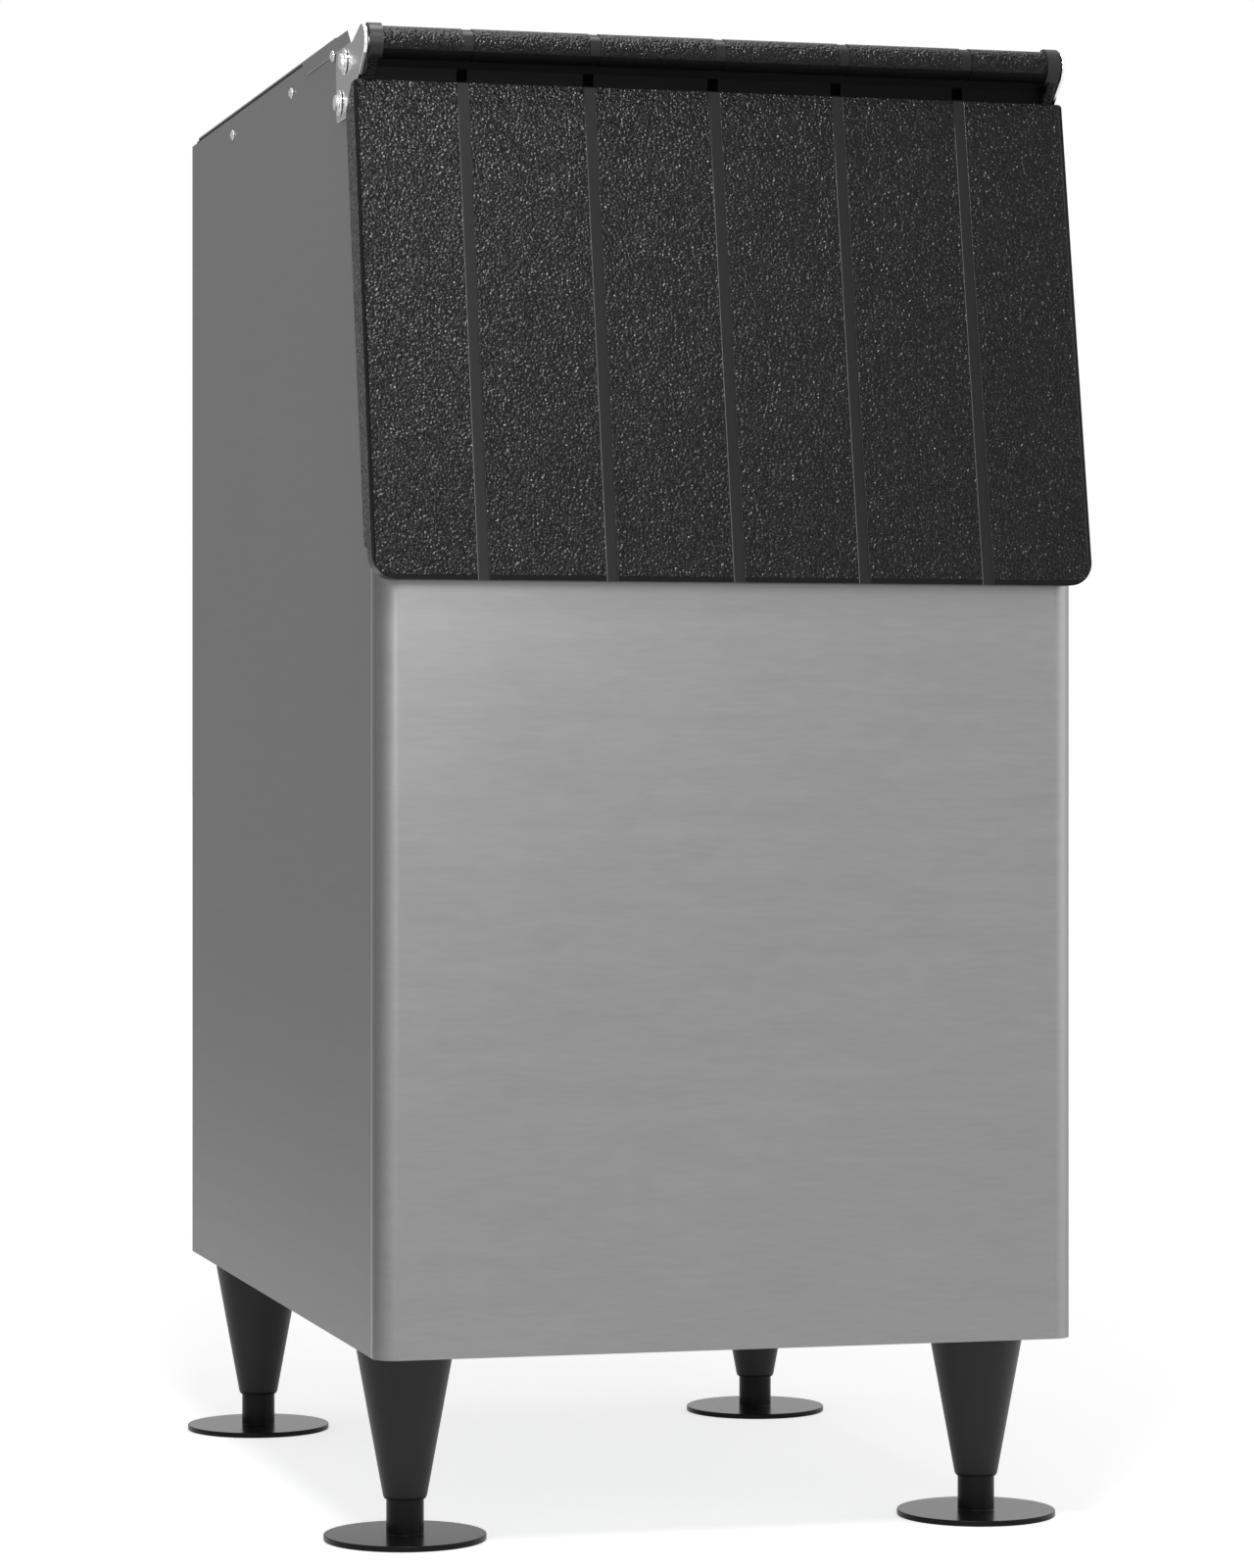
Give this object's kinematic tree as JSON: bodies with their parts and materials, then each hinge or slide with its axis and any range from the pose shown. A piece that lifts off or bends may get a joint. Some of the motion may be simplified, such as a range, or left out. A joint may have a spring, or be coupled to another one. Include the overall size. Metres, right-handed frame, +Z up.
{
  "type": "ice storage bin",
  "caption": "Free-standing insulated ice bin on levelling legs: steel cabinet, sloped lift-up front door, swinging ice baffle, floor drain and an open seat on top for an ice maker.",
  "frame": {"origin": "centre of the outline on the floor, at floor level under the feet", "axes": "+X to the right as seen from the front, +Y from the door to the back, +Z up"},
  "size_m": [0.5956, 0.8465, 1.173],
  "materials": {
    "casing": "satin",
    "zinc_sheet": "matte",
    "liner": "satin",
    "foam": "matte",
    "door_plastic": "satin",
    "gasket": "matte",
    "bright_metal": "polished",
    "bearing_plastic": "satin",
    "leg_black": "satin",
    "foot_black": "satin"
  },
  "bodies": {
    "cabinet": {"front_panel": "casing", "left_side_panel": "casing", "right_side_panel": "casing", "rear_panel": "zinc_sheet", "bottom_pan": "zinc_sheet", "top_front_cover": "casing", "top_frame": "casing", "top_gasket": "gasket", "liner_tub": "liner", "access_frame": "liner", "insulation_left": "foam", "insulation_right": "foam", "insulation_front": "foam", "insulation_rear": "foam", "insulation_floor": "foam", "left_hinge_bracket": "bright_metal", "right_hinge_bracket": "bright_metal", "left_bolt_upper": "bright_metal", "left_bolt_lower": "bright_metal", "right_bolt_upper": "bright_metal", "right_bolt_lower": "bright_metal", "left_washer_upper": "bright_metal", "left_washer_lower": "bright_metal", "right_washer_upper": "bright_metal", "right_washer_lower": "bright_metal", "left_screw_rear": "bright_metal", "left_screw_middle": "bright_metal", "left_screw_front": "bright_metal", "right_screw_rear": "bright_metal", "right_screw_middle": "bright_metal", "right_screw_front": "bright_metal", "leg_mount_front_left": "zinc_sheet", "leg_mount_front_right": "zinc_sheet", "leg_mount_rear_left": "zinc_sheet", "leg_mount_rear_right": "zinc_sheet", "leg_front_left": "leg_black", "leg_front_right": "leg_black", "leg_rear_left": "leg_black", "leg_rear_right": "leg_black", "drain_fitting": "foot_black", "drain_nut": "foot_black", "drain_strainer": "casing", "left_baffle_hanger": "bearing_plastic", "right_baffle_hanger": "bearing_plastic"},
    "door": {"door_shell": "door_plastic", "door_core": "foam", "door_inner_panel": "liner", "door_gasket": "gasket", "left_hinge_bush": "bearing_plastic", "right_hinge_bush": "bearing_plastic"},
    "baffle": {"ice_baffle": "liner"},
    "levelling_foot_front_left": {"foot_front_left": "foot_black"},
    "levelling_foot_front_right": {"foot_front_right": "foot_black"},
    "levelling_foot_rear_left": {"foot_rear_left": "foot_black"},
    "levelling_foot_rear_right": {"foot_rear_right": "foot_black"}
  },
  "joints": [
    {"name": "door_hinge", "type": "hinge", "parent": "cabinet", "child": "door", "pos_m": [0, -0.35923, 1.1536], "axis": [-1, 0, 0], "range_deg": [0, 175]},
    {"name": "baffle_swing", "type": "hinge", "parent": "cabinet", "child": "baffle", "pos_m": [0, -0.25225, 1.14], "axis": [1, 0, 0], "range_deg": [-12, 80]},
    {"name": "foot_front_left_screw", "type": "slide", "parent": "cabinet", "child": "levelling_foot_front_left", "axis": [0, 0, -1], "range_m": [0, 0.02]},
    {"name": "foot_front_right_screw", "type": "slide", "parent": "cabinet", "child": "levelling_foot_front_right", "axis": [0, 0, -1], "range_m": [0, 0.02]},
    {"name": "foot_rear_left_screw", "type": "slide", "parent": "cabinet", "child": "levelling_foot_rear_left", "axis": [0, 0, -1], "range_m": [0, 0.02]},
    {"name": "foot_rear_right_screw", "type": "slide", "parent": "cabinet", "child": "levelling_foot_rear_right", "axis": [0, 0, -1], "range_m": [0, 0.02]}
  ]
}
